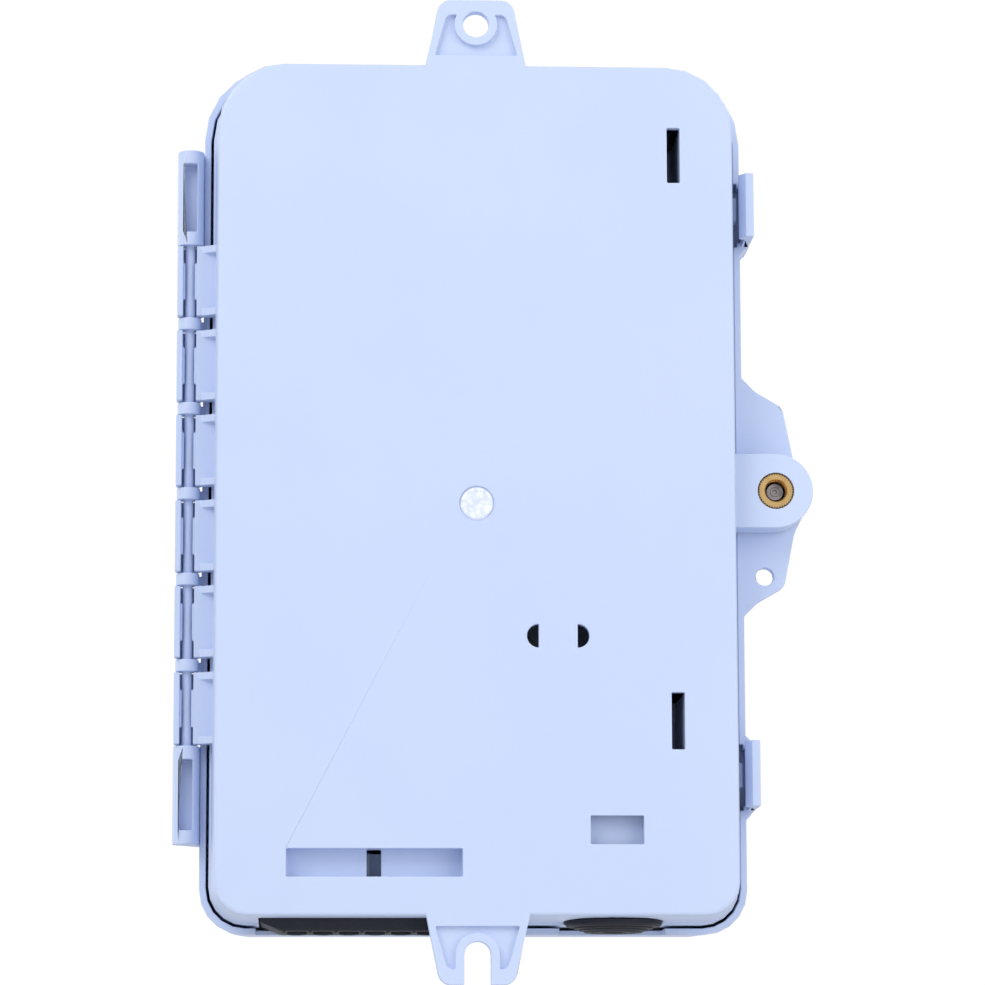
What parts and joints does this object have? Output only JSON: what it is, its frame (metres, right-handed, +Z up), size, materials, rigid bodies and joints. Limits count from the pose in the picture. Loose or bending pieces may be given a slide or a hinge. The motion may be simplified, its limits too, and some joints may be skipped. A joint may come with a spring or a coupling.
{
  "type": "fiber termination box",
  "caption": "Wall-mounted hinged plastic box for joining a feeder fiber cable to drop cables, with rubber entries, a swinging splice tray and capped adapters.",
  "frame": {"origin": "centre of the rear shell's flat back, which lies on the wall", "axes": "+Z up, +X to the hinge side, +Y into the wall behind the box"},
  "size_m": [0.1363, 0.046, 0.2108],
  "materials": {
    "shell_plastic": "satin moulded, pale blue",
    "tray_plastic": "satin moulded",
    "white_plastic": "moulded, slightly glossy",
    "adapter_plastic": "green moulded",
    "black_rubber": "matte",
    "insert_brass": "knurled, turned",
    "zinc_steel": "zinc plated",
    "splitter_steel": "drawn tube"
  },
  "bodies": {
    "rear_shell": {"base_shell": "shell_plastic", "lock_insert": "insert_brass", "drop_cable_grommet": "black_rubber", "feeder_gland": "black_rubber", "drop_clamp_bar": "shell_plastic", "drop_clamp_screw_1": "zinc_steel", "drop_clamp_screw_2": "zinc_steel", "feeder_clamp": "shell_plastic", "feeder_clamp_screw_1": "zinc_steel", "feeder_clamp_screw_2": "zinc_steel"},
    "cover": {"front_cover": "shell_plastic", "perimeter_seal": "black_rubber"},
    "washer": {"bolt_washer": "zinc_steel"},
    "bolt": {"lock_bolt": "zinc_steel"},
    "tray": {"splice_tray": "tray_plastic", "splice_holder": "white_plastic", "splitter_module": "splitter_steel", "adapter_panel": "tray_plastic", "adapter_1": "adapter_plastic", "adapter_2": "adapter_plastic", "adapter_3": "adapter_plastic", "adapter_4": "adapter_plastic", "adapter_5": "adapter_plastic", "adapter_6": "adapter_plastic", "adapter_7": "adapter_plastic", "adapter_8": "adapter_plastic"},
    "lower_cap_1": {"lower_cap_1": "white_plastic"},
    "upper_cap_1": {"upper_cap_1": "white_plastic"},
    "lower_cap_2": {"lower_cap_2": "white_plastic"},
    "upper_cap_2": {"upper_cap_2": "white_plastic"},
    "lower_cap_3": {"lower_cap_3": "white_plastic"},
    "upper_cap_3": {"upper_cap_3": "white_plastic"},
    "lower_cap_4": {"lower_cap_4": "white_plastic"},
    "upper_cap_4": {"upper_cap_4": "white_plastic"},
    "lower_cap_5": {"lower_cap_5": "white_plastic"},
    "upper_cap_5": {"upper_cap_5": "white_plastic"},
    "lower_cap_6": {"lower_cap_6": "white_plastic"},
    "upper_cap_6": {"upper_cap_6": "white_plastic"},
    "lower_cap_7": {"lower_cap_7": "white_plastic"},
    "upper_cap_7": {"upper_cap_7": "white_plastic"},
    "lower_cap_8": {"lower_cap_8": "white_plastic"},
    "upper_cap_8": {"upper_cap_8": "white_plastic"}
  },
  "joints": [
    {"name": "cover_swing", "type": "hinge", "parent": "rear_shell", "child": "cover", "pos_m": [0.0611, -0.014, 0], "axis": [0, 0, 1], "range_deg": [0, 120]},
    {"name": "tray_swing", "type": "hinge", "parent": "rear_shell", "child": "tray", "pos_m": [0.049, -0.02, 0], "axis": [0, 0, 1], "range_deg": [0, 90]},
    {"name": "bolt_slide", "type": "slide", "parent": "cover", "child": "washer", "axis": [0, -1, 0], "range_m": [0, 0.004]},
    {"name": "bolt_turn", "type": "hinge", "parent": "washer", "child": "bolt", "pos_m": [-0.0644, -0.02, 0], "axis": [0, -1, 0], "range_deg": [0, 1805]},
    {"name": "lower_cap_1_pull", "type": "slide", "parent": "tray", "child": "lower_cap_1", "axis": [0, 0, -1], "range_m": [0, 0.009]},
    {"name": "upper_cap_1_pull", "type": "slide", "parent": "tray", "child": "upper_cap_1", "axis": [0, 0, 1], "range_m": [0, 0.009]},
    {"name": "lower_cap_2_pull", "type": "slide", "parent": "tray", "child": "lower_cap_2", "axis": [0, 0, -1], "range_m": [0, 0.009]},
    {"name": "upper_cap_2_pull", "type": "slide", "parent": "tray", "child": "upper_cap_2", "axis": [0, 0, 1], "range_m": [0, 0.009]},
    {"name": "lower_cap_3_pull", "type": "slide", "parent": "tray", "child": "lower_cap_3", "axis": [0, 0, -1], "range_m": [0, 0.009]},
    {"name": "upper_cap_3_pull", "type": "slide", "parent": "tray", "child": "upper_cap_3", "axis": [0, 0, 1], "range_m": [0, 0.009]},
    {"name": "lower_cap_4_pull", "type": "slide", "parent": "tray", "child": "lower_cap_4", "axis": [0, 0, -1], "range_m": [0, 0.009]},
    {"name": "upper_cap_4_pull", "type": "slide", "parent": "tray", "child": "upper_cap_4", "axis": [0, 0, 1], "range_m": [0, 0.009]},
    {"name": "lower_cap_5_pull", "type": "slide", "parent": "tray", "child": "lower_cap_5", "axis": [0, 0, -1], "range_m": [0, 0.009]},
    {"name": "upper_cap_5_pull", "type": "slide", "parent": "tray", "child": "upper_cap_5", "axis": [0, 0, 1], "range_m": [0, 0.009]},
    {"name": "lower_cap_6_pull", "type": "slide", "parent": "tray", "child": "lower_cap_6", "axis": [0, 0, -1], "range_m": [0, 0.009]},
    {"name": "upper_cap_6_pull", "type": "slide", "parent": "tray", "child": "upper_cap_6", "axis": [0, 0, 1], "range_m": [0, 0.009]},
    {"name": "lower_cap_7_pull", "type": "slide", "parent": "tray", "child": "lower_cap_7", "axis": [0, 0, -1], "range_m": [0, 0.009]},
    {"name": "upper_cap_7_pull", "type": "slide", "parent": "tray", "child": "upper_cap_7", "axis": [0, 0, 1], "range_m": [0, 0.009]},
    {"name": "lower_cap_8_pull", "type": "slide", "parent": "tray", "child": "lower_cap_8", "axis": [0, 0, -1], "range_m": [0, 0.009]},
    {"name": "upper_cap_8_pull", "type": "slide", "parent": "tray", "child": "upper_cap_8", "axis": [0, 0, 1], "range_m": [0, 0.009]}
  ],
  "couplings": [
    {"joint": "tray_swing", "follows": "cover_swing", "ratio": 0.75},
    {"joint": "bolt_turn", "follows": "bolt_slide", "rad_per_m": 7854}
  ]
}
